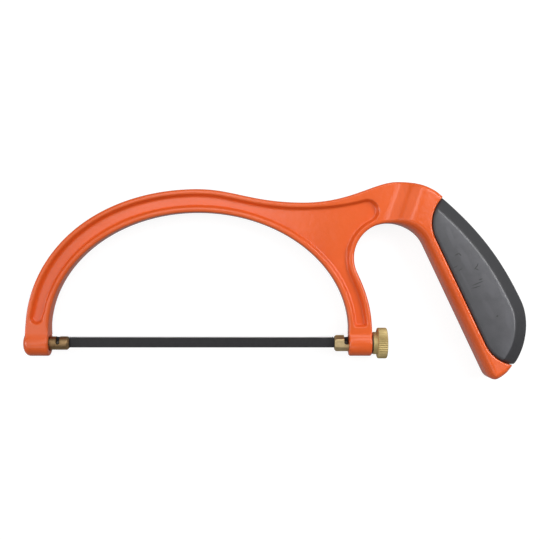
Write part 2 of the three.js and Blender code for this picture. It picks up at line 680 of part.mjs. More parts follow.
// The saw lies on its side: its lowest face is on the table and the origin is under its middle.
const extent = new THREE.Box3().setFromObject(saw);
const middle = extent.getCenter(new THREE.Vector3());
saw.position.set(-middle.x, -middle.y, -extent.min.z);
saw.updateMatrixWorld(true);

export default saw;
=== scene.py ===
import bmesh
import bpy
import numpy as np
from mathutils.geometry import delaunay_2d_cdt
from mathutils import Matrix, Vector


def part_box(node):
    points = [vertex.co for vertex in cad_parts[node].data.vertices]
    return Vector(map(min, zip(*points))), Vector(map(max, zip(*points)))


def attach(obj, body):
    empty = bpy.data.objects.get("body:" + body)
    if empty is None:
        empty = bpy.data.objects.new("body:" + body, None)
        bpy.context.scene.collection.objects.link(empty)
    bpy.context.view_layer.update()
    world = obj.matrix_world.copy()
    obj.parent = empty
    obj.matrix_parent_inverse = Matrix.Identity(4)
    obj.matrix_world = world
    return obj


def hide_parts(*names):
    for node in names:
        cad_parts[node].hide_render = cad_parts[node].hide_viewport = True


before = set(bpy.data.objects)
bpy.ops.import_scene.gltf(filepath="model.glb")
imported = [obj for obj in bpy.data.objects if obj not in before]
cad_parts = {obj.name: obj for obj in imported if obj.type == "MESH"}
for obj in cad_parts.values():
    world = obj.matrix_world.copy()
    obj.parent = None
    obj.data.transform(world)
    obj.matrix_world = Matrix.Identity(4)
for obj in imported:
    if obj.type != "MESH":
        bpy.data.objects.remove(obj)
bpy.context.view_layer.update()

# Frame, plan: one light-alloy casting. A bow on two short legs, a saddle and a hump over the hand, a round
# finger gap and a raked handle. Worked out in millimetres: x runs along the blade, y from the blade to the
# bow and z up from the middle of the saw's thickness.
half_span, arch_rise, arch_lean, leg_height = 75.9, 60.0, 0.7, 6.4
bow_width, haunch_swell, rib_width = 11.6, 0.7, 2.2
leg_back = half_span + bow_width
crown_height = leg_height + arch_rise + bow_width
finger_radius, finger_grip_radius = 17.6, 19.6
finger = np.array([leg_back + 8.5, crown_height - 34.7])
rake = np.radians(25.24)
down = np.array([np.sin(rake), -np.cos(rake)])
back = np.array([np.cos(rake), np.sin(rake)])
handle_front = np.hypot(finger_grip_radius * back[0], finger_radius * back[1])
handle_length, tip_across, tip_round = 78.03, 22.6, 4.8
gap_end_angle, leg_blend_angle = 205, 14
foot_height, foot_bevel = 4.3, 2.5


def arc(middle, radius_x, radius_y, start, end, steps=40):
    """Points of an ellipse from one angle to another, in degrees."""
    turn = np.radians(np.linspace(start, end, steps + 1))
    return np.column_stack([middle[0] + radius_x * np.cos(turn), middle[1] + radius_y * np.sin(turn)])


def sweep(start, leave, arrive, end, steps=40):
    """A cubic curve that leaves its start along one step and arrives at its end along another."""
    t = np.linspace(0, 1, steps + 1)[:, None]
    first, last = np.asarray(start) + leave, np.asarray(end) - arrive
    return (1 - t) ** 3 * start + 3 * (1 - t) ** 2 * t * first + 3 * (1 - t) * t ** 2 * last + t ** 3 * end


def bow(start, end, distance, swelling=0.0, steps=120):
    """The bow's inner half-ellipse between two angles, its crown leaning to the front, moved out along its
    normal by a distance that swells with the square of the sine of the double angle."""
    turn = np.radians(np.linspace(start, end, steps + 1))
    normal = np.column_stack([np.cos(turn) / half_span, np.sin(turn) / arch_rise])
    normal /= np.linalg.norm(normal, axis=1, keepdims=True)
    inner = np.column_stack([half_span * np.cos(turn) - arch_lean * np.sin(turn) ** 2,
                             leg_height + arch_rise * np.sin(turn)])
    return inner + normal * (distance + swelling * np.sin(2 * turn) ** 2)[:, None]


def on_handle(along, across):
    """A place on the handle: so far down it from the finger gap's middle, and so far towards its back."""
    return finger + along * down + across * back


def finger_edge(rib, start):
    """The finger gap's round from an angle, running smoothly into the back of the rear leg, a rib inside."""
    radius = finger_radius + rib
    gap = arc(finger, radius, radius, start, gap_end_angle)
    leg = bow(leg_blend_angle, 0, bow_width - rib, steps=20)
    third = np.linalg.norm(gap[-1] - leg[0]) / 3
    lower = np.radians(gap_end_angle)
    into_leg = (leg[1] - leg[0]) / np.linalg.norm(leg[1] - leg[0])
    leave = third * np.array([-np.sin(lower), np.cos(lower)])
    return np.vstack([gap, sweep(gap[-1], leave, third * into_leg, leg[0]), leg])


def evenly(points, spacing):
    """The same curve with points at even steps of about the spacing along its length."""
    length = np.concatenate([[0], np.cumsum(np.linalg.norm(np.diff(points, axis=0), axis=1))])
    places = np.linspace(0, length[-1], max(int(round(length[-1] / spacing)), 2) + 1)
    return np.column_stack([np.interp(places, length, points[:, 0]), np.interp(places, length, points[:, 1])])


def joined(curves, spacing):
    """A closed loop of curves set end to end, each evenly stepped, with no point twice."""
    curves = [np.asarray(curve, float) for curve in curves]
    points = np.vstack([evenly(curve, spacing) for curve in curves if np.ptp(curve, axis=0).max() > 0])
    return points[np.linalg.norm(points - np.roll(points, -1, 0), axis=1) > 0.05]


crown = bow(90, 91, bow_width, steps=1)[0]
saddle = np.array([53, crown_height - 6.8])
hump = np.array([leg_back + 13, finger[1] + finger_radius + 20.7])
back_top, back_widest = on_handle(-18.6, 35.8), on_handle(48, 50.95)
back_leave = 22 * down + 10.1 * back
tip, front_low = on_handle(handle_length, tip_across), on_handle(handle_length - tip_round, handle_front)
crown_to_saddle = sweep(crown, [18, 0], [26, 0], saddle)
saddle_to_hump = sweep(saddle, [24, 0], [12, 0], hump)
hump_to_back = sweep(hump, [8, 0], 5.5 * back_leave / np.linalg.norm(back_leave), back_top)
upper_back = sweep(back_top, back_leave, 26 * down, back_widest)
lower_back = sweep(back_widest, 14 * down, -9.5 * back, tip)
handle_end = sweep(tip, 0.55 * (handle_front - tip_across) * back, -0.55 * tip_round * down, front_low)
grip_tangent = np.degrees(np.arctan2(finger_radius * back[1], finger_grip_radius * back[0]))
over_fingers = arc(finger, finger_grip_radius, finger_radius, grip_tangent, 90)
outline = joined([
    bow(180, 90, bow_width, haunch_swell),
    crown_to_saddle,
    np.vstack([saddle_to_hump, hump_to_back]),
    np.vstack([upper_back, lower_back]),
    handle_end,
    [front_low, over_fingers[0]],
    over_fingers,
    finger_edge(0, 90),
    [[leg_back, leg_height], [leg_back, foot_height]],
    [[leg_back, foot_height], [leg_back - foot_bevel, 0]],
    [[leg_back - foot_bevel, 0], [half_span + foot_bevel, 0]],
    [[half_span + foot_bevel, 0], [half_span, foot_height]],
    [[half_span, foot_height], [half_span, leg_height]],
    bow(0, 180, 0),
    [[-half_span, leg_height], [-half_span, foot_height]],
    [[-half_span, foot_height], [-half_span - foot_bevel, 0]],
    [[-half_span - foot_bevel, 0], [foot_bevel - leg_back, 0]],
    [[foot_bevel - leg_back, 0], [-leg_back, foot_height]],
    [[-leg_back, foot_height], [-leg_back, leg_height]],
], 0.9)

# Frame, channel: sunk into both faces of the bow, round at the front leg, square at the rear leg and with a
# round lobe under the hump. Its walls lean out and run into face and floor in small rounds, as cast.
channel_depth = 2.8
lobe_radius, lobe_angle, lobe_top = 6.2, 115, 106
lobe_way = np.array([np.cos(np.radians(lobe_angle)), np.sin(np.radians(lobe_angle))])
lobe_middle = finger + lobe_way * (finger_radius + rib_width + lobe_radius)
lobe = arc(lobe_middle, lobe_radius, lobe_radius, lobe_top, lobe_angle - 180)
lobe_arrive = 8 * np.array([np.sin(np.radians(lobe_top)), -np.cos(np.radians(lobe_top))])
channel_half = bow_width / 2 - rib_width
front_end = np.array([-half_span - bow_width / 2, 9.6 + channel_half])
front_angle = 180 - np.degrees(np.arcsin((front_end[1] - leg_height) / arch_rise)) - 2
rear_floor, rear_corner = 10.2, 2.0
rear_angle = np.degrees(np.arcsin((rear_floor - leg_height) / arch_rise)) + 2


def moved_in(loop, distance):
    """A loop that runs clockwise, or a part of one, with each point moved along its normal to the inside."""
    along = np.roll(loop, -1, 0) - np.roll(loop, 1, 0)
    along /= np.linalg.norm(along, axis=1, keepdims=True)
    return loop + np.column_stack([along[:, 1], -along[:, 0]]) * np.reshape(distance, (-1, 1))


upper_wall = moved_in(crown_to_saddle, rib_width)[1:-1]
channel = joined([
    bow(front_angle, 90, bow_width - rib_width, haunch_swell),
    upper_wall,
    sweep(upper_wall[-1], [14, 0], lobe_arrive, lobe[0]),
    lobe,
    finger_edge(rib_width, lobe_angle)[:-6],
    arc([leg_back - rib_width - rear_corner, rear_floor], rear_corner, rear_corner, 0, -90),
    arc([half_span + rib_width + rear_corner, rear_floor], rear_corner, rear_corner, -90, -180),
    bow(rear_angle, front_angle, rib_width),
    arc(front_end, channel_half, channel_half, 360, 180),
], 0.8)


def wall_profile(depth, top_round, floor_round, slope, steps=5):
    """The channel's wall from face to floor, as distances inwards and drops: a round, a straight, a round."""
    turn = np.radians(np.linspace(0, slope, steps + 1))
    top = np.column_stack([top_round * np.sin(turn), top_round * (1 - np.cos(turn))])
    low = np.column_stack([floor_round * np.sin(turn), floor_round * (1 - np.cos(turn))])
    straight = (depth - top[-1, 1] - low[-1, 1]) / np.tan(np.radians(slope))
    end = np.array([top[-1, 0] + straight + low[-1, 0], depth])
    return np.vstack([top, (end - low)[::-1]])


channel_wall = wall_profile(channel_depth, 0.9, 0.9, 68) - [0.4, 0]

# Frame, faces: the height of the casting over its plan. The bow is 10 mm thick and swells to the handle's
# 21 mm over the flare. All edges are rounded, little on the bow and most on the finger side of the handle.
bow_half, handle_half = 5.0, 10.5
bow_round, seat_round = 1.3, 0.8
boss_radius, boss_round, boss_proud = 6.5, 1.0, 0.03
boss_fillet = 4.3
flare_tilt, flare_start, flare_length, flare_ripple = np.radians(19.4), -9.6, 15.4, 0.007
legs_end, neck_low = 98, 40
fillet_start = np.sqrt((boss_radius + boss_fillet) ** 2 - (bow_half + boss_fillet) ** 2)
fillet_end = fillet_start * boss_radius / (boss_radius + boss_fillet)
dome_end, dome_length, dome_radius = -leg_back - 1.5, 3.6, 5.0
dome = arc([dome_end + dome_length, boss_radius - dome_radius], -dome_length, dome_radius, 0, 90, 24)
shoulder = boss_radius - boss_round
front_edge = arc([-half_span + boss_proud - boss_round, shoulder], boss_round, boss_round, 90, 0, 8)
rear_front_edge = arc([half_span - boss_proud + boss_round, shoulder], -boss_round, boss_round, 0, 90, 8)
rear_back_edge = arc([leg_back + boss_proud - boss_round, shoulder], boss_round, boss_round, 90, 0, 8)
front_barrel = np.vstack([dome, front_edge])
rear_barrel = np.vstack([rear_front_edge, rear_back_edge])


def swelling(x, y):
    """Share of the way from the bow's thickness to the handle's: a hollow and a swell that meet half way
    along a line across the neck, with a slight ripple. The rear leg, past the finger gap, has none of it."""
    across = (x - finger[0]) * np.cos(flare_tilt) - (y - finger[1]) * np.sin(flare_tilt)
    s = np.clip((across - flare_start) / flare_length, 0, 1)
    share = np.where(s < 0.5, 2 * s ** 2, 1 - 2 * (1 - s) ** 2) + flare_ripple * np.sin(8 * np.pi * s)
    return np.where((y < neck_low) & (x < legs_end), 0.0, share)


def away(points, curve, closed=True, values=None):
    """Distance from each point to the nearest place on a curve: to each of its straight pieces in turn. With
    values given along the curve, also the values at that place."""
    start = curve if closed else curve[:-1]
    step = (np.roll(curve, -1, 0) if closed else curve[1:]) - start
    size = np.maximum((step ** 2).sum(1), 1e-12)

    def nearest(some):
        gap = some[:, None, :] - start[None]
        share = np.clip((gap * step).sum(2) / size, 0, 1)
        distance = np.linalg.norm(gap - share[..., None] * step, axis=2)
        piece = distance.argmin(1)
        row = np.arange(len(some))
        return np.column_stack([distance[row, piece], piece, share[row, piece]])

    found = np.vstack([nearest(some) for some in np.array_split(points, len(points) // 1000 + 1)])
    if values is None:
        return found[:, 0]
    first, share = found[:, 1].astype(int), found[:, 2:]
    return found[:, 0], values[first] * (1 - share) + values[(first + 1) % len(values)] * share


def inside(points, loop):
    """True for each point inside the loop: a ray to the right crosses the loop an odd number of times."""
    x, y = points[:, :1], points[:, 1:]
    a, b = loop, np.roll(loop, -1, 0)
    crosses = (a[:, 1] > y) != (b[:, 1] > y)
    rise = np.where(b[:, 1] == a[:, 1], 1.0, b[:, 1] - a[:, 1])
    return (crosses & (x < a[:, 0] + (y - a[:, 1]) * (b[:, 0] - a[:, 0]) / rise)).sum(1) % 2 == 1


def edge_drop(distance, width, depth=None):
    """How far a rounded edge lies under its face at a distance from the outline: a quarter of an ellipse of a
    width and a depth, or of a circle."""
    short = np.clip(1 - distance / width, 0, 1)
    return (width if depth is None else depth) * (1 - np.sqrt(1 - short ** 2))


finger_round, hand_round, evened = [4.1, 6.6], [2.2, 2.4], 6
finger_side = np.vstack([handle_end, over_fingers, finger_edge(0, 90)])
at_fingers = away(outline, finger_side, False)[:, None] < 0.05
edge = np.where(at_fingers, finger_round, hand_round)
edge = bow_round + (edge - bow_round) * swelling(*outline.T)[:, None]
edge = sum(np.roll(edge, step, 0) for step in range(-evened, evened + 1)) / (2 * evened + 1)
edge *= np.where(outline[:, :1] < legs_end, np.clip((outline[:, 1:] - 3) / 7, 0.25, 1), 1)


def casting_height(points, grip_loop):
    """Height of the casting's upper face: thickness, less the edge rounds, less the channel, and raised in a
    hollow round to the barrels at the leg ends."""
    x, y = points.T
    distance, shape = away(points, outline, values=edge)
    face = bow_half + (handle_half - bow_half) * swelling(x, y) - edge_drop(distance, *shape.T)
    depth_in = np.where(inside(points, channel), 1, -1) * away(points, channel)
    face = face - np.interp(depth_in, channel_wall[:, 0], channel_wall[:, 1])
    face = face - edge_drop(away(points, grip_loop), seat_round)
    barrel = np.where(x < 0, np.interp(x, front_barrel[:, 0], front_barrel[:, 1]),
                      np.interp(x, rear_barrel[:, 0], rear_barrel[:, 1])) - 0.05
    barrel = np.sqrt(np.maximum(barrel ** 2 - y ** 2, 0))
    hollow = boss_fillet - np.sqrt(np.maximum(boss_fillet ** 2 - (y - fillet_start) ** 2, 0))
    face = face + np.where((x < legs_end) & (y < fillet_start) & (y > fillet_end), hollow, 0)
    return np.where((x < legs_end) & (y < 8), np.maximum(face, barrel), face)


def plan_mesh(loops, loose=None):
    """Triangles over the plan, none of which crosses a loop, all counter-clockwise. Returns points and
    triangles."""
    starts = np.cumsum([0] + [len(loop) for loop in loops])
    ring = [np.column_stack([np.arange(n), np.roll(np.arange(n), -1)]) + first
            for n, first in zip(map(len, loops), starts)]
    points = np.vstack(loops if loose is None else [*loops, loose])
    found = delaunay_2d_cdt(points.tolist(), np.vstack(ring).tolist(), [], 0, 1e-4, False)
    points = np.array([tuple(point) for point in found[0]])
    triangles = np.array([(face[0], *pair) for face in found[2] for pair in zip(face[1:], face[2:])])
    a, b, c = (points[triangles[:, i]] for i in range(3))
    turn = (b - a)[:, 0] * (c - a)[:, 1] - (b - a)[:, 1] * (c - a)[:, 0]
    triangles[turn < 0] = triangles[turn < 0][:, ::-1]
    return points, triangles[np.abs(turn) > 1e-7]


def closed_body(points, triangles, top, bottom):
    """A closed body over a plan: its faces at the heights top and bottom, and a wall along each edge that
    only one triangle has. Points outside the triangles are left out. Returns corners and faces."""
    used, triangles = np.unique(triangles, return_inverse=True)
    points, top, bottom, triangles = points[used], top[used], bottom[used], triangles.reshape(-1, 3)
    count = len(points)
    sides = np.vstack([triangles[:, [0, 1]], triangles[:, [1, 2]], triangles[:, [2, 0]]])
    rim = sides[~np.isin(sides[:, 1] * count + sides[:, 0], sides[:, 0] * count + sides[:, 1])]
    corners = np.vstack([np.column_stack([points, top]), np.column_stack([points, bottom])])
    walls = np.column_stack([rim[:, 1], rim[:, 0], rim[:, 0] + count, rim[:, 1] + count])
    return corners, triangles.tolist() + (triangles[:, ::-1] + count).tolist() + walls.tolist()


def turned(rows, sides=96):
    """A surface turned about the blade line. Each row is a place along x and a radius, which may change with
    the angle. The rows follow the section from inside to outside and back. Returns corners and faces."""
    turn = np.linspace(0, 2 * np.pi, sides, endpoint=False)
    x = np.repeat([row[0] for row in rows], sides).reshape(-1, sides)
    radius = np.array([np.broadcast_to(row[1], sides) for row in rows])
    corners = np.stack([x, radius * np.cos(turn), radius * np.sin(turn)], axis=2).reshape(-1, 3)
    return corners, grid_faces(len(rows), sides)


def grid_faces(rows, sides):
    """Four-cornered faces of a grid that is closed round its sides and open along its rows."""
    first = np.arange((rows - 1) * sides).reshape(rows - 1, sides)
    ahead = np.roll(first, -1, 1)
    return np.stack([first, ahead, ahead + sides, first + sides], axis=2).reshape(-1, 4).tolist()


pin_x, pin_y, pin_radius = np.array([-71.5, 74.5]), 0.45, 0.8
pin_low, pin_high = (np.array(corner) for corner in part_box("front_blade_pin"))
plan_zero = (pin_low + pin_high) / 2 - np.array([pin_x[0], pin_y, 0]) / 1000


def made(name, shells, material, crease=32):
    """One object of closed shells given in plan millimetres, set in the saw's frame in metres. Corners that
    coincide are joined, faces turned outwards and edges over the crease angle kept sharp."""
    starts = np.cumsum([0] + [len(corners) for corners, _ in shells])
    corners = np.vstack([corners for corners, _ in shells]) / 1000 + plan_zero
    faces = [[corner + first for corner in face] for (_, some), first in zip(shells, starts) for face in some]
    mesh = bpy.data.meshes.new(name)
    mesh.from_pydata(corners.tolist(), [], faces)
    work = bmesh.new()
    work.from_mesh(mesh)
    bmesh.ops.remove_doubles(work, verts=work.verts, dist=2e-6)
    bmesh.ops.dissolve_degenerate(work, edges=work.edges, dist=1e-6)
    bmesh.ops.recalc_face_normals(work, faces=work.faces)
    work.to_mesh(mesh)
    work.free()
    mesh.shade_smooth()
    mesh.set_sharp_from_angle(angle=np.radians(crease))
    mesh.materials.append(material)
    piece = bpy.data.objects.new(name, mesh)
    bpy.context.scene.collection.objects.link(piece)
    return piece


# Rubber grip, plan: the casting is cut away for it, so its line is needed here. A straight front edge with a
# wide round at each end, running out over the back of the handle.
grip_across, grip_upper, grip_lower, grip_corner = 24.4, 1.0, handle_length - 18.6, 18.0


def grip_line(growth):
    """The grip's plan, grown all round by a distance."""
    radius, middle = grip_corner + growth, grip_across + grip_corner
    upper = arc([grip_upper, middle], radius, radius, 180, 270)
    lower = arc([grip_lower, middle], radius, radius, 270, 360)
    ends = np.array([[grip_lower + radius, 70.0], [grip_upper - radius, 70.0], upper[0]])
    local = np.vstack([upper, lower, ends])
    return joined([on_handle(local[:, :1], local[:, 1:])], 0.8)


# Frame, mesh and paint. The faces are meshed on loops that follow the outline, the channel and the grip, so
# that every round is crisp. The barrels are turned, with a round mouth in front and a hexagon socket behind.
grip_gap, flats_half, socket_gap, shank_hole = 0.15, 7.1 / 2, 0.12, 3.15
seat_line = grip_line(grip_gap)
edge_share = 1 - np.cos(np.radians([0, 14, 27, 40, 53, 66, 78, 90]))
loops = [moved_in(outline, share * edge[:, :1]) for share in edge_share]
loops += [moved_in(outline, 1.08 * edge[:, :1] + 0.12)]
loops += [moved_in(channel, distance) for distance in (-0.6, *channel_wall[:, 0], channel_wall[-1, 0] + 0.2)]
loops += [grip_line(grip_gap + distance) for distance in (0, 0.06, 0.18, 0.36, 0.58, 0.8, 0.95)]
flare_x, flare_y = np.meshgrid(np.arange(84, 118, 0.6), np.arange(56, 84, 0.6))
flare_points = np.column_stack([flare_x.ravel(), flare_y.ravel()])
leg_x, leg_y = np.meshgrid(np.arange(half_span + 0.4, leg_back, 0.5), np.arange(0.2, 9.6, 0.28))
leg_points = np.column_stack([leg_x.ravel(), leg_y.ravel()])
loose = np.vstack([flare_points, leg_points, leg_points * [-1, 1]])
loose = loose[inside(loose, outline) & (away(loose, outline) > 0.15) & (away(loose, channel) > 0.3)]
loose = loose[~inside(loose, channel)]
plan, triangles = plan_mesh(loops, loose)
middles = plan[triangles].mean(1)
triangles = triangles[inside(middles, outline) & ~inside(middles, seat_line)]
height = casting_height(plan, seat_line)
casting = closed_body(plan, triangles, height, -height)

mouth_radius, mouth_end, screw_radius, screw_end = 4.0, -half_span - 2.5, 3.15, -half_span - 7.8
front_boss = turned([
    (screw_end, 0), (screw_end, screw_radius), (mouth_end, screw_radius), (mouth_end, mouth_radius),
    (boss_proud - half_span - 0.25, mouth_radius), (boss_proud - half_span, mouth_radius + 0.25),
    *front_edge[::-1].tolist(), *dome[::-1].tolist(), (dome_end, 0),
])
around = np.degrees(np.linspace(0, 2 * np.pi, 96, endpoint=False))
hexagon = 1 / np.cos(np.radians(around % 60 - 30))
socket_half, socket_end = flats_half + socket_gap, half_span + 7.2
rear_boss = turned([
    (leg_back + boss_proud, shank_hole), (socket_end, shank_hole), (socket_end, socket_half * hexagon),
    (half_span + 0.2, socket_half * hexagon), (half_span - boss_proud, socket_half * hexagon + 0.2),
    *rear_front_edge.tolist(), *rear_back_edge.tolist(), (leg_back + boss_proud, shank_hole),
])


def new_finish(name, **settings):
    """A material with its Principled shader's constant inputs set. Returns material, nodes, link and
    shader."""
    material = bpy.data.materials.new(name)
    material.use_nodes = True
    nodes, shader = material.node_tree.nodes, material.node_tree.nodes["Principled BSDF"]
    for socket, value in settings.items():
        shader.inputs[socket.replace("_", " ")].default_value = value
    return material, nodes, material.node_tree.links.new, shader


def ramp(nodes, link, value, *stops):
    """A colour ramp node on a value, from (place, colour) stops."""
    node = nodes.new("ShaderNodeValToRGB")
    while len(node.color_ramp.elements) < len(stops):
        node.color_ramp.elements.new(0.5)
    for element, (place, colour) in zip(node.color_ramp.elements, stops):
        element.position = place
        element.color = (*colour, 1)
    link(value, node.inputs["Fac"])
    return node.outputs["Color"]


def grey_ramp(nodes, link, value, *stops):
    """A ramp of greys on a value, from (place, level) stops."""
    return ramp(nodes, link, value, *((place, (level, level, level)) for place, level in stops))


def bump(nodes, link, height, strength, distance):
    """A bump node on a height, its distance in metres."""
    node = nodes.new("ShaderNodeBump")
    node.inputs["Strength"].default_value = strength
    node.inputs["Distance"].default_value = distance
    link(height, node.inputs["Height"])
    return node


# Surface variation shared by the finishes: slow patches and fine grain, both from the place on the piece.
variation = bpy.data.node_groups.new("surface_variation", "ShaderNodeTree")
for socket, kind in (("Place", "Vector"), ("Patch Scale", "Float"), ("Grain Scale", "Float")):
    variation.interface.new_socket(socket, in_out="INPUT", socket_type="NodeSocket" + kind)
for socket in ("Patches", "Grain"):
    variation.interface.new_socket(socket, in_out="OUTPUT", socket_type="NodeSocketFloat")
group_in = variation.nodes.new("NodeGroupInput")
group_out = variation.nodes.new("NodeGroupOutput")
for socket, detail in (("Patch", 3.0), ("Grain", 2.0)):
    node = variation.nodes.new("ShaderNodeTexNoise")
    node.inputs["Detail"].default_value = detail
    variation.links.new(group_in.outputs["Place"], node.inputs["Vector"])
    variation.links.new(group_in.outputs[f"{socket} Scale"], node.inputs["Scale"])
    variation.links.new(node.outputs["Fac"], group_out.inputs["Patches" if socket == "Patch" else "Grain"])


def varied(nodes, link, patch_scale, grain_scale):
    """The shared variation on a piece's own Object coordinates. Returns place, patches and grain."""
    place = nodes.new("ShaderNodeTexCoord").outputs["Object"]
    group = nodes.new("ShaderNodeGroup")
    group.node_tree = variation
    group.inputs["Patch Scale"].default_value = patch_scale
    group.inputs["Grain Scale"].default_value = grain_scale
    link(place, group.inputs["Place"])
    return place, group.outputs["Patches"], group.outputs["Grain"]


paint, nodes, link, shader = new_finish("orange_enamel", Specular_IOR_Level=0.5)
_, patches, grain = varied(nodes, link, 60, 520)
colour = ramp(nodes, link, patches, (0.3, (0.74, 0.108, 0.017)), (0.7, (0.79, 0.122, 0.022)))
link(colour, shader.inputs["Base Color"])
link(grey_ramp(nodes, link, grain, (0.2, 0.15), (0.8, 0.22)), shader.inputs["Roughness"])
link(bump(nodes, link, grain, 0.18, 0.0004).outputs["Normal"], shader.inputs["Normal"])
body = made("frame_casting", [casting, front_boss, rear_boss], paint)
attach(body, "frame")
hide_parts("frame")

# Grip: one rubber moulding pressed over the web at the back of the handle. Flat sides, a softly rounded front
# edge against the paint, and a bevelled back that leaves the side softly above and at a crease lower down.
back_band, back_drop, rubber_round = 7.3, 5.9, 1.7
soft_start, soft_less, crease_from, crease_over = 0.16, 0.08, 30, 22
# Painted shade: how fast the back bevel's darkening sets in, and the width and fade of the darkened strip
# along the front edge.
back_shade_fade, front_shade_width, front_shade_fade = 0.6, 2.2, 0.8
core_side = np.array([on_handle(60, 0), on_handle(-10, 0)])
rubber_end = sweep(back_widest, 14 * down, -13.5 * back, on_handle(handle_length, 24.2))
grip_back = evenly(np.vstack([hump_to_back, upper_back[1:], rubber_end, handle_end[-1:]]), 0.8)
handle_loop = joined([np.vstack([grip_back, core_side, grip_back[:1]])], 0.8)
rubber_line = grip_line(0)


def rubber_height(points):
    """Height of the rubber's side: flat, less a bevel to the back, less the round of its front edge."""
    along = (points - finger) @ down
    near_back = np.clip(1 - away(points, grip_back, False) / back_band, 0, 1)
    soft = soft_start - soft_less * np.clip((along - crease_from) / crease_over, 0, 1)
    fall = np.where(near_back < soft, near_back ** 2 / (2 * soft), near_back - soft / 2) / (1 - soft / 2)
    return handle_half - back_drop * fall - edge_drop(away(points, rubber_line), rubber_round)


bands = back_band * (1 - np.sin(np.radians([78, 66, 54, 42, 30, 20, 10, 4, 0, -4])))
band_lines = [moved_in(grip_back, band) for band in bands]
rubber_loops = [handle_loop]
rubber_loops += [joined([np.vstack([line[1:-1], core_side, line[1:2]])], 0.8) for line in band_lines]
rubber_loops += [grip_line(-distance) for distance in (0, 0.08, 0.3, 0.65, 1.15, 1.7)]
plan, triangles = plan_mesh(rubber_loops)
middles = plan[triangles].mean(1)
triangles = triangles[inside(middles, handle_loop) & inside(middles, rubber_line)]
height = rubber_height(plan)
moulding = closed_body(plan, triangles, height, -height)

# Stroke: one short mark on a surface, from its middle, turn, half length and half width in metres. It draws
# the rubber's scuffs and one patch of painted shade.
scuff_and_shade = bpy.data.node_groups.new("scuff_and_shade_stroke", "ShaderNodeTree")
for socket, kind in (("Place", "Vector"), ("Middle", "Vector"), ("Turn", "Float"), ("Half Size", "Vector")):
    scuff_and_shade.interface.new_socket(socket, in_out="INPUT", socket_type="NodeSocket" + kind)
scuff_and_shade.interface.new_socket("Stroke", in_out="OUTPUT", socket_type="NodeSocketFloat")
group_in, group_out = scuff_and_shade.nodes.new("NodeGroupInput"), scuff_and_shade.nodes.new("NodeGroupOutput")
waver_size = 0.0007
waver = scuff_and_shade.nodes.new("ShaderNodeTexNoise")
waver.inputs["Scale"].default_value = 400
shift = scuff_and_shade.nodes.new("ShaderNodeVectorMath")
shift.operation = "MULTIPLY_ADD"
shift.inputs[1].default_value = (waver_size, waver_size, 0)
turn_to = scuff_and_shade.nodes.new("ShaderNodeVectorRotate")
turn_to.rotation_type = "Z_AXIS"
share = scuff_and_shade.nodes.new("ShaderNodeVectorMath")
share.operation = "DIVIDE"
squared = scuff_and_shade.nodes.new("ShaderNodeVectorMath")
squared.operation = "DOT_PRODUCT"
fade = scuff_and_shade.nodes.new("ShaderNodeMapRange")
fade.interpolation_type = "SMOOTHSTEP"
for socket, value in (("From Min", 0.2), ("From Max", 1.0), ("To Min", 1.0), ("To Max", 0.0)):
    fade.inputs[socket].default_value = value
wire = scuff_and_shade.links.new
wire(group_in.outputs["Place"], waver.inputs["Vector"])
wire(waver.outputs["Color"], shift.inputs[0])
wire(group_in.outputs["Place"], shift.inputs[2])
wire(shift.outputs["Vector"], turn_to.inputs["Vector"])
wire(group_in.outputs["Middle"], turn_to.inputs["Center"])
wire(group_in.outputs["Turn"], turn_to.inputs["Angle"])
from_middle = scuff_and_shade.nodes.new("ShaderNodeVectorMath")
from_middle.operation = "SUBTRACT"
wire(turn_to.outputs["Vector"], from_middle.inputs[0])
wire(group_in.outputs["Middle"], from_middle.inputs[1])
wire(from_middle.outputs["Vector"], share.inputs[0])
wire(group_in.outputs["Half Size"], share.inputs[1])
wire(share.outputs["Vector"], squared.inputs[0])
wire(share.outputs["Vector"], squared.inputs[1])
wire(squared.outputs["Value"], fade.inputs["Value"])
wire(fade.outputs["Result"], group_out.inputs["Stroke"])


def strokes(nodes, link, place, marks):
    """All strokes of a list (along, across, turn in degrees, half length and half width in mm) together."""
    total = None
    for along, across, turn, half_length, half_width in marks:
        stroke = nodes.new("ShaderNodeGroup")
        stroke.node_tree = scuff_and_shade
        middle = np.append(on_handle(along, across), handle_half) / 1000 + plan_zero
        stroke.inputs["Middle"].default_value = middle + [waver_size / 2, waver_size / 2, 0]
        stroke.inputs["Turn"].default_value = np.radians(-turn)
        stroke.inputs["Half Size"].default_value = (half_length / 1000, half_width / 1000, 0.004)
        link(place, stroke.inputs["Place"])
        if total is None:
            total = stroke.outputs["Stroke"]
        else:
            both = nodes.new("ShaderNodeMath")
            both.operation = "MAXIMUM"
            link(total, both.inputs[0])
            link(stroke.outputs["Stroke"], both.inputs[1])
            total = both.outputs[0]
    return total


def blend(nodes, link, share, first, second):
    """A colour that goes from the first to the second, each a colour or a socket, by a share."""
    mix = nodes.new("ShaderNodeMix")
    mix.data_type = "RGBA"
    link(share, mix.inputs["Factor"])
    for socket, colour in ((mix.inputs[6], first), (mix.inputs[7], second)):
        if isinstance(colour, tuple):
            socket.default_value = (*colour, 1)
        else:
            link(colour, socket)
    return mix.outputs[2]


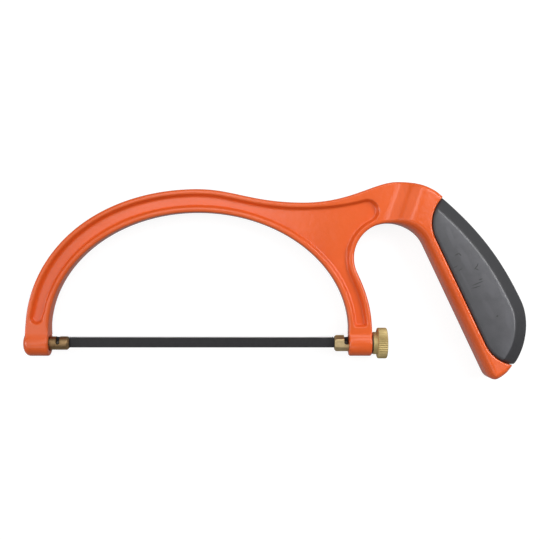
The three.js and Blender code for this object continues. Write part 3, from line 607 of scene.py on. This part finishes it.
rubber, nodes, link, shader = new_finish("grey_rubber", Specular_IOR_Level=0.9)
place, patches, grain = varied(nodes, link, 130, 2600)
# The back bevel and a strip along the front edge are painted near-black. This is painted shade for the bevel
# that faces away from the light and for the groove at the front edge.
band = nodes.new("ShaderNodeAttribute")
band.attribute_name = "back_band"
# Dark marks are scuffs, except the last stroke, which is painted shade where a small notch sits at the back
# bevel's edge.
dark_marks_and_shade = strokes(nodes, link, place, [
    (12.6, 30.6, 25, 1.6, 0.4), (13.2, 31.9, -50, 1.1, 0.36), (22.4, 36.4, 55, 1.8, 0.36),
    (23.4, 36.2, -25, 1.5, 0.34), (21.6, 37.6, 80, 1.1, 0.3), (30.0, 33.8, 22, 4.0, 0.36),
    (31.4, 32.2, 16, 3.0, 0.3), (28.8, 35.8, 20, 1.3, 0.45), (48.8, 35.5, 30, 0.7, 0.5),
    (17.8, 26.9, 35, 1.9, 0.3), (20.2, 28.8, 30, 1.5, 0.3), (10.5, 43, 20, 1.6, 0.45)])
pale_marks = strokes(nodes, link, place, [
    (-10.5, 32, -20, 1.4, 0.4), (3, 31.5, -70, 7, 1.6), (17, 33, -62, 9, 2.2), (33, 38, -66, 8, 2.4),
    (44, 33, -60, 7, 2.0), (27, 28.6, -64, 9, 0.8), (52, 40, -80, 6, 1.6), (38, 43, -66, 8, 1.2)])
colour = ramp(nodes, link, patches, (0.35, (0.043, 0.043, 0.05)), (0.65, (0.072, 0.072, 0.082)))
colour = blend(nodes, link, pale_marks, colour, (0.076, 0.076, 0.087))
colour = blend(nodes, link, dark_marks_and_shade, colour, (0.006, 0.006, 0.007))
link(blend(nodes, link, band.outputs["Fac"], colour, (0.013, 0.013, 0.016)), shader.inputs["Base Color"])
smooth = grey_ramp(nodes, link, patches, (0.3, 0.44), (0.7, 0.3))
smooth = blend(nodes, link, dark_marks_and_shade, smooth, (0.7, 0.7, 0.7))
link(blend(nodes, link, band.outputs["Fac"], smooth, (0.54, 0.54, 0.54)), shader.inputs["Roughness"])
link(bump(nodes, link, grain, 0.25, 0.0001).outputs["Normal"], shader.inputs["Normal"])
grip = made("grip_moulding", [moulding], rubber)
corners = np.empty(len(grip.data.vertices) * 3)
grip.data.vertices.foreach_get("co", corners)
corners = ((corners.reshape(-1, 3) - plan_zero) * 1000)[:, :2]
# back_band: 1 on the back bevel and along the front edge, 0 on the flat side. It is the mask of the painted
# shade.
grip.data.attributes.new("back_band", "FLOAT", "POINT").data.foreach_set(
    "value", np.clip(np.maximum((back_band - away(corners, grip_back, False)) / back_shade_fade,
                                (front_shade_width - away(corners, rubber_line)) / front_shade_fade), 0, 1))
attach(grip, "frame")
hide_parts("grip")

# Front holder: a turned brass peg screwed into the front boss. Its end is slotted for the blade and notched
# across for the blade's pin.
blade_half, blade_over, slot_gap = 0.65 / 2, 1.2, 0.16
slot_half = blade_half + slot_gap
peg_radius, peg_nose, peg_chamfer = 3.4, -66.0, 1.1
slot_end = pin_x[0] - blade_over - slot_gap
notch_floor = pin_y - pin_radius - 0.1


def jaw(start, nose, half_width, notch, surface, cuts):
    """The jaws on either side of the slot, in plan between start and nose with their corners and the notch
    cut out, up to a surface height. Returns the upper and the lower jaw."""
    left, right, floor = notch
    bend = min((right - left) / 2, 0.9)
    round_floor = np.vstack([arc([right - bend, floor + bend], bend, bend, 360, 270, 6),
                             arc([left + bend, floor + bend], bend, bend, 270, 180, 6)])
    first, last = cuts
    around = [[start, first - half_width], [start, half_width - first], [start + first, half_width],
              [left, half_width], round_floor[-1], round_floor[0], [right, half_width],
              [nose - last, half_width], [nose, half_width - last], [nose, last - half_width],
              [nose - last, -half_width], [start + first, -half_width]]
    sides = list(zip(around, around[1:] + around[:1]))
    sides[4] = round_floor[::-1]
    edge = joined(sides, 0.25)
    grid_x, grid_y = np.meshgrid(np.linspace(start, nose, 40), np.linspace(-half_width, half_width, 30))
    grid = np.column_stack([grid_x.ravel(), grid_y.ravel()])
    grid = grid[inside(grid, edge) & (away(grid, edge) > 0.12)]
    points, triangles = plan_mesh([edge, moved_in(edge, 0.08)], grid)
    triangles = triangles[inside(points[triangles].mean(1), edge)]
    top = np.maximum(surface(points) - edge_drop(away(points, edge), 0.08), slot_half)
    upper = closed_body(points, triangles, top, np.full(len(points), slot_half))
    lower = (upper[0] * [1, 1, -1], [face[::-1] for face in upper[1]])
    return [upper, lower]


def peg_height(points):
    """Height of the round peg over the blade line, its nose chamfered to a cone."""
    radius = peg_radius - np.clip(points[:, 0] - (peg_nose - peg_chamfer), 0, peg_chamfer)
    return np.sqrt(np.maximum(radius ** 2 - points[:, 1] ** 2, 0))


peg_base = turned([(screw_end + 0.2, 0), (screw_end + 0.2, screw_radius - 0.2),
                   (mouth_end + 0.1, screw_radius - 0.2), (mouth_end + 0.1, peg_radius),
                   (slot_end, peg_radius), (slot_end, 0)], 64)
peg_notch = (pin_x[0] - 0.96, pin_x[0] + 0.9, notch_floor)
peg_jaws = jaw(slot_end, peg_nose, peg_radius, peg_notch, peg_height, (0, peg_chamfer))

tarnished, nodes, link, shader = new_finish("tarnished_brass", Metallic=1.0)
_, patches, grain = varied(nodes, link, 420, 3000)
colour = ramp(nodes, link, patches, (0.3, (0.24, 0.15, 0.07)), (0.7, (0.34, 0.22, 0.108)))
link(colour, shader.inputs["Base Color"])
link(grey_ramp(nodes, link, patches, (0.3, 0.5), (0.7, 0.36)), shader.inputs["Roughness"])
link(bump(nodes, link, grain, 0.2, 0.00005).outputs["Normal"], shader.inputs["Normal"])
holder = made("front_holder_peg", [peg_base, *peg_jaws], tarnished)
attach(holder, "frame")
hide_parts("front_holder")

# Rear holder: brass hexagon bar with the same slot and an open notch, turned down behind to a threaded shank
# that the thumb nut pulls. It slides in the hexagon socket of the rear boss.
rear_nose, hexagon_end = half_span - 7.2, half_span + 6.4
corner = flats_half / np.cos(np.radians(30))
travel, washer_gap, washer_thick, nut_length = 4.0, 0.1, 0.5, 7.1
washer_face = leg_back + washer_gap
nut_face = washer_face + washer_thick + washer_gap
nut_end = nut_face + nut_length
shank_radius, shank_end, pitch = 5.9 / 2, nut_end - 0.6, 1.0
rear_slot_end = pin_x[1] + blade_over + travel + slot_gap


def hexagon_height(points):
    """Height of the hexagon bar over the blade line: a flat between two slopes, its nose turned to a cone."""
    sides = (corner - np.abs(points[:, 1])) * np.tan(np.radians(60))
    cone = corner - 0.8 + np.clip(points[:, 0] - rear_nose, 0, 3)
    turned_nose = np.sqrt(np.maximum(cone ** 2 - points[:, 1] ** 2, 0))
    return np.maximum(np.minimum(np.minimum(flats_half, sides), turned_nose), 0)


block = turned([(hexagon_end, 0), (hexagon_end, flats_half * hexagon),
                (rear_slot_end, flats_half * hexagon), (rear_slot_end, 0)])
rear_notch = (pin_x[1] - 0.9, pin_x[1] + pin_radius + travel + slot_gap, notch_floor)
bar_jaws = jaw(rear_nose, rear_slot_end, corner, rear_notch, hexagon_height, (0.8, 0))
thread_x = np.arange(hexagon_end, shank_end - 0.5, pitch / 8)
turn_share = around / 360
shank = turned([(hexagon_end - 1, 0), (hexagon_end - 1, shank_radius - 0.3)]
               + [(x, shank_radius - 0.5 * np.abs((x / pitch - turn_share) % 1 - 0.5)) for x in thread_x]
               + [(shank_end - 0.4, shank_radius - 0.25), (shank_end, shank_radius - 0.7), (shank_end, 0)])
dull_brass, nodes, link, shader = new_finish("dull_brass", Metallic=1.0)
_, patches, grain = varied(nodes, link, 380, 2800)
colour = ramp(nodes, link, patches, (0.3, (0.48, 0.36, 0.18)), (0.7, (0.6, 0.46, 0.25)))
link(colour, shader.inputs["Base Color"])
link(grey_ramp(nodes, link, patches, (0.3, 0.5), (0.7, 0.4)), shader.inputs["Roughness"])
link(bump(nodes, link, grain, 0.2, 0.00005).outputs["Normal"], shader.inputs["Normal"])
holder = made("rear_holder_bar", [block, *bar_jaws, shank], dull_brass)
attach(holder, "rear_holder")
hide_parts("rear_holder")

# Thrust washer: a thin steel ring between the rear boss and the nut.
washer_back = washer_face + washer_thick
washer = turned([(washer_face, shank_hole), (washer_face, 5.4), (washer_face + 0.1, 5.5),
                 (washer_face + 0.4, 5.5), (washer_back, 5.4), (washer_back, shank_hole),
                 (washer_face, shank_hole)])
dull_steel, nodes, link, shader = new_finish("dull_steel", Metallic=1.0)
_, patches, grain = varied(nodes, link, 500, 3000)
colour = ramp(nodes, link, patches, (0.3, (0.05, 0.045, 0.04)), (0.7, (0.11, 0.10, 0.09)))
link(colour, shader.inputs["Base Color"])
link(grey_ramp(nodes, link, grain, (0.3, 0.45), (0.7, 0.6)), shader.inputs["Roughness"])
ring = made("thrust_ring", [washer], dull_steel)
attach(ring, "frame")
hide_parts("thrust_washer")

# Thumb nut: turned from brass bar, a plain collar towards the frame and a wheel with a fine straight knurl.
wheel_face, wheel_radius, wheel_round = nut_face + 2.2, 7.8, 0.7
collar_radius, bore = 5.65, shank_hole
knurl_sides, knurl_count, knurl_depth = 768, 48, 0.28
knurl = np.abs(np.arange(knurl_sides) * knurl_count / knurl_sides % 1 - 0.5) * 2
low_edge = arc([wheel_face + wheel_round, wheel_radius - wheel_round], -wheel_round, wheel_round, 0, 90, 6)
high_edge = arc([nut_end - wheel_round, wheel_radius - wheel_round], wheel_round, wheel_round, 90, 0, 6)
wheel_rows = np.vstack([low_edge, high_edge])
cut = np.clip((wheel_rows[:, 1] - (wheel_radius - wheel_round)) / wheel_round, 0, 1)
nut_body = turned(
    [(nut_face, bore), (nut_face, collar_radius - 0.3), (nut_face + 0.1, collar_radius - 0.09),
     (nut_face + 0.3, collar_radius), (wheel_face - 0.25, collar_radius),
     (wheel_face - 0.05, collar_radius + 0.1), (wheel_face, collar_radius + 0.4)]
    + [(x, radius - knurl_depth * depth * knurl) for (x, radius), depth in zip(wheel_rows, cut)]
    + [(nut_end, 4.1), (nut_end - 0.3, bore + 0.35), (nut_end - 0.65, bore), (nut_face, bore)], knurl_sides)
brass, nodes, link, shader = new_finish("machined_brass", Metallic=1.0)
_, patches, grain = varied(nodes, link, 300, 2600)
colour = ramp(nodes, link, patches, (0.3, (0.49, 0.385, 0.17)), (0.7, (0.615, 0.49, 0.238)))
link(colour, shader.inputs["Base Color"])
link(grey_ramp(nodes, link, grain, (0.3, 0.58), (0.7, 0.7)), shader.inputs["Roughness"])
link(bump(nodes, link, grain, 0.15, 0.00005).outputs["Normal"], shader.inputs["Normal"])
nut = made("thumb_nut_wheel", [nut_body], brass, 40)
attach(nut, "nut")
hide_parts("thumb_nut")

# Blade: a thin hardened strip, blackened, with fine raked teeth towards the bow. The toothed edge is set in a
# shallow wave to either side so that the saw cuts wider than the strip.
blade_front, blade_rear = pin_x[0] - blade_over, pin_x[1] + blade_over
blade_back, tooth_tip, tooth_depth, tooth_pitch = pin_y - 2.7, pin_y + 2.9, 0.6, 25.4 / 24
plain_end, set_out, set_wave, set_reach, set_fade = 4.0, 0.06, 6, 75, 4
tooth_count = int((blade_rear - blade_front - 2 * plain_end) / tooth_pitch)
last_gullet = blade_rear - plain_end
tooth = last_gullet - tooth_pitch * np.arange(tooth_count)[:, None]
tooth_x = (tooth - tooth_pitch * np.array([0, 0.3, 0.55, 0.92, 0.97])).ravel()
tooth_y = np.tile(tooth_tip - tooth_depth * np.array([1, 1, 0.45, 0.0, 0.0]), tooth_count)
blade_x = np.concatenate([[blade_rear], tooth_x, [last_gullet - tooth_count * tooth_pitch, blade_front]])
blade_top = np.concatenate([[tooth_tip - 0.15], tooth_y, [tooth_tip - 0.15] * 2])
section = np.array([(0, -0.75), (0.02, -1), (0.75, -1), (0.88, -1), (1, -1),
                    (1, 1), (0.88, 1), (0.75, 1), (0.02, 1), (0, 0.75)])
set_share = np.clip((set_reach - np.abs(blade_x - pin_x.mean())) / set_fade, 0, 1)
wave = set_out * np.sin(2 * np.pi * blade_x / (set_wave * tooth_pitch)) * set_share
strip_y = blade_back + section[:, 0] * (blade_top - blade_back)[:, None]
strip_z = section[:, 1] * blade_half + wave[:, None] * np.clip((section[:, 0] - 0.72) / 0.28, 0, 1)
strip_x = np.broadcast_to(blade_x[:, None], strip_y.shape)
strip_corners = np.stack([strip_x, strip_y, strip_z], axis=2).reshape(-1, 3)
sides, last = len(section), len(strip_corners) - 1
end_faces = [list(range(sides)), list(range(last, last - sides, -1))]
strip = (strip_corners, grid_faces(len(blade_x), sides) + end_faces)
blackened, nodes, link, shader = new_finish("blackened_steel", Specular_IOR_Level=0.32)
_, patches, grain = varied(nodes, link, 300, 2200)
colour = ramp(nodes, link, grain, (0.3, (0.010, 0.0095, 0.0105)), (0.7, (0.022, 0.021, 0.0235)))
link(colour, shader.inputs["Base Color"])
link(grey_ramp(nodes, link, patches, (0.3, 0.42), (0.7, 0.58)), shader.inputs["Roughness"])
link(bump(nodes, link, grain, 0.2, 0.00006).outputs["Normal"], shader.inputs["Normal"])
saw_blade = made("toothed_strip", [strip], blackened, 25)
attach(saw_blade, "blade")
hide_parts("blade")

# Blade pins: short steel pins pressed through the ends of the blade, with rounded ends.
pin_half, pin_end_radius, pin_end_round = 2.7, 0.55, 0.2
for name, x in zip(("front_blade_pin", "rear_blade_pin"), pin_x):
    corners, faces = turned([(-pin_half, 0), (-pin_half, pin_end_radius),
                             (pin_end_round - pin_half, pin_radius), (pin_half - pin_end_round, pin_radius),
                             (pin_half, pin_end_radius), (pin_half, 0)], 32)
    upright = np.column_stack([corners[:, 1] + x, corners[:, 2] + pin_y, corners[:, 0]])
    pin = made(name + "_round", [(upright, faces)], dull_steel)
    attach(pin, "blade")
    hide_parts(name)

# Table: a plain white sheet that the saw lies on.
sheet = bpy.data.meshes.new("table_sheet")
table_half, table_top = 3, -0.0002
table_corners = [(x * table_half, y * table_half, table_top) for x, y in ((-1, -1), (1, -1), (1, 1), (-1, 1))]
sheet.from_pydata(table_corners, [], [(0, 1, 2, 3)])
table_white, nodes, link, shader = new_finish("table_white", Base_Color=(0.2, 0.2, 0.2, 1), Roughness=0.9)


def white_to_rays(nodes, link, seen, mirrored, plain):
    """A strength with a plain level, more of it for the camera's rays and for mirrored and passing rays."""
    ray = nodes.new("ShaderNodeLightPath")
    either = nodes.new("ShaderNodeMath")
    either.operation = "MAXIMUM"
    link(ray.outputs["Is Glossy Ray"], either.inputs[0])
    link(ray.outputs["Is Transmission Ray"], either.inputs[1])
    level = either.outputs[0]
    for source, factor, base in ((level, mirrored, plain), (ray.outputs["Is Camera Ray"], seen, None)):
        step = nodes.new("ShaderNodeMath")
        step.operation = "MULTIPLY_ADD"
        step.inputs[1].default_value = factor
        link(source, step.inputs[0])
        if base is None:
            link(level, step.inputs[2])
        else:
            step.inputs[2].default_value = base
        level = step.outputs[0]
    return level


shader.inputs["Emission Color"].default_value = (1, 1, 1, 1)
link(white_to_rays(nodes, link, 0.88, 0.16, 0.0), shader.inputs["Emission Strength"])
sheet.materials.append(table_white)
table = bpy.data.objects.new("table", sheet)
bpy.context.scene.collection.objects.link(table)

# Light: a pale room, white where the camera sees it, and a bank of soft boxes overhead, with an opening
# between the left, the right and the top ones. A strong lamp stands low and near on the right, and a fill
# lamp far out on the left leans towards the saw.
world = bpy.data.worlds.new("room")
bpy.context.scene.world = world
world.use_nodes = True
nodes, link = world.node_tree.nodes, world.node_tree.links.new
background = nodes["Background"]
background.inputs["Color"].default_value = (0.97, 0.98, 1, 1)
link(white_to_rays(nodes, link, 0.89, 0.14, 0.11), background.inputs["Strength"])


def soft_box(name, left, right, low, high, radiance, height=0.9, lean=0):
    """A soft light that covers a rectangle at a height over the table and shines down, or leans to the right
    by an angle in degrees."""
    light = bpy.data.lights.new(name, "AREA")
    light.shape = "RECTANGLE"
    light.size, light.size_y = right - left, high - low
    light.energy = np.pi * light.size * light.size_y * radiance
    lamp = bpy.data.objects.new(name, light)
    lamp.location = ((left + right) / 2, (low + high) / 2, height)
    lamp.rotation_euler.y = -np.radians(lean)
    bpy.context.scene.collection.objects.link(lamp)


soft_box("left_box", -0.7, -0.25, -0.25, 0.13, 1.35)
soft_box("far_box", -1.5, -0.25, 0.13, 0.75, 0.6)
soft_box("far_lamp", -1.2, -0.55, 0.25, 0.6, 1.0)
soft_box("side_box", -2.2, -1.25, -0.9, 0.1, 1.6)
soft_box("left_lamp", -1.15, -0.85, -0.25, 0.1, 2.4)
soft_box("top_box", -0.25, 0.043, 0.035, 0.6, 2.5)
soft_box("right_box", 0.225, 0.42, 0.1, 0.32, 3.2)
soft_box("boss_box", 0.05, 0.5, 0.42, 0.95, 2.2)
soft_box("back_box", -0.6, 0.8, 0.95, 1.9, 0.8)
soft_box("low_box", -0.9, 0.1, -0.8, -0.35, 0.9)
soft_box("tip_lamp", 0.28, 0.42, -0.2, -0.11, 2.0)
soft_box("near_lamp", 0.32, 0.6, -0.02, 0.48, 8.4, 0.45)
soft_box("fill_lamp", -1.5, -1.0, -0.35, 0.25, 4.0, 0.5, 65)

# Camera: straight above the saw, as in the photograph.
camera_place = np.array([35.99, 37.16, 450])
camera_data = bpy.data.cameras.new("camera")
camera_data.sensor_width = 36
camera_data.lens = 58.94
camera = bpy.data.objects.new("camera", camera_data)
camera.location = camera_place / 1000 + plan_zero
bpy.context.scene.collection.objects.link(camera)
bpy.context.scene.camera = camera
bpy.context.scene.view_settings.view_transform = "Standard"
